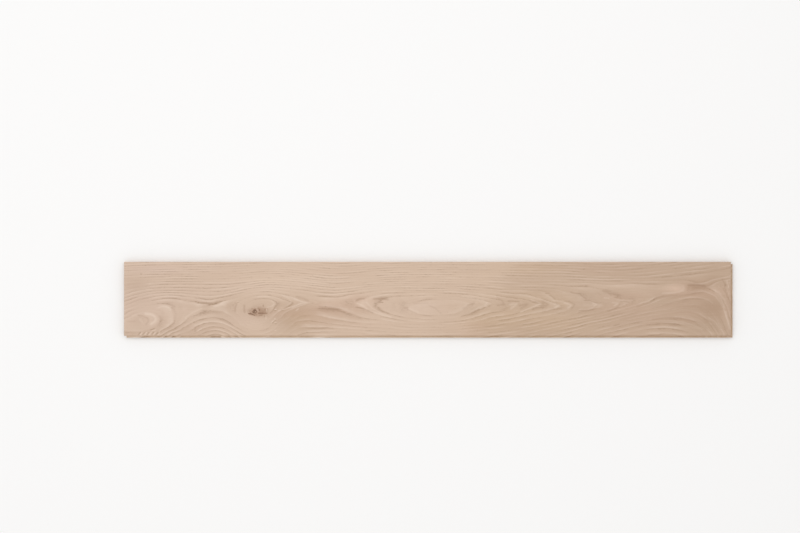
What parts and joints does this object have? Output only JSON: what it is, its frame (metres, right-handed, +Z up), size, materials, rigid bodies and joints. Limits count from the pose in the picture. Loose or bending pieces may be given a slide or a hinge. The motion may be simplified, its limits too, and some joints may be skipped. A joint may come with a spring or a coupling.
{
  "type": "wide plank floorboard",
  "caption": "Wide solid oak floorboard with a tongue on one long side and one end, a groove on the other side and end, and a bevelled face.",
  "frame": {"origin": "centre of the underside, straight below the centre of the visible face", "axes": "+X along the board towards the end tongue, -Y towards the side tongue, +Z up out of the face"},
  "size_m": [1.886, 0.235, 0.019],
  "materials": {
    "oak": "brushed, matt oiled, pale natural oak"
  },
  "bodies": {
    "root": {"floorboard": "oak"}
  },
  "joints": []
}
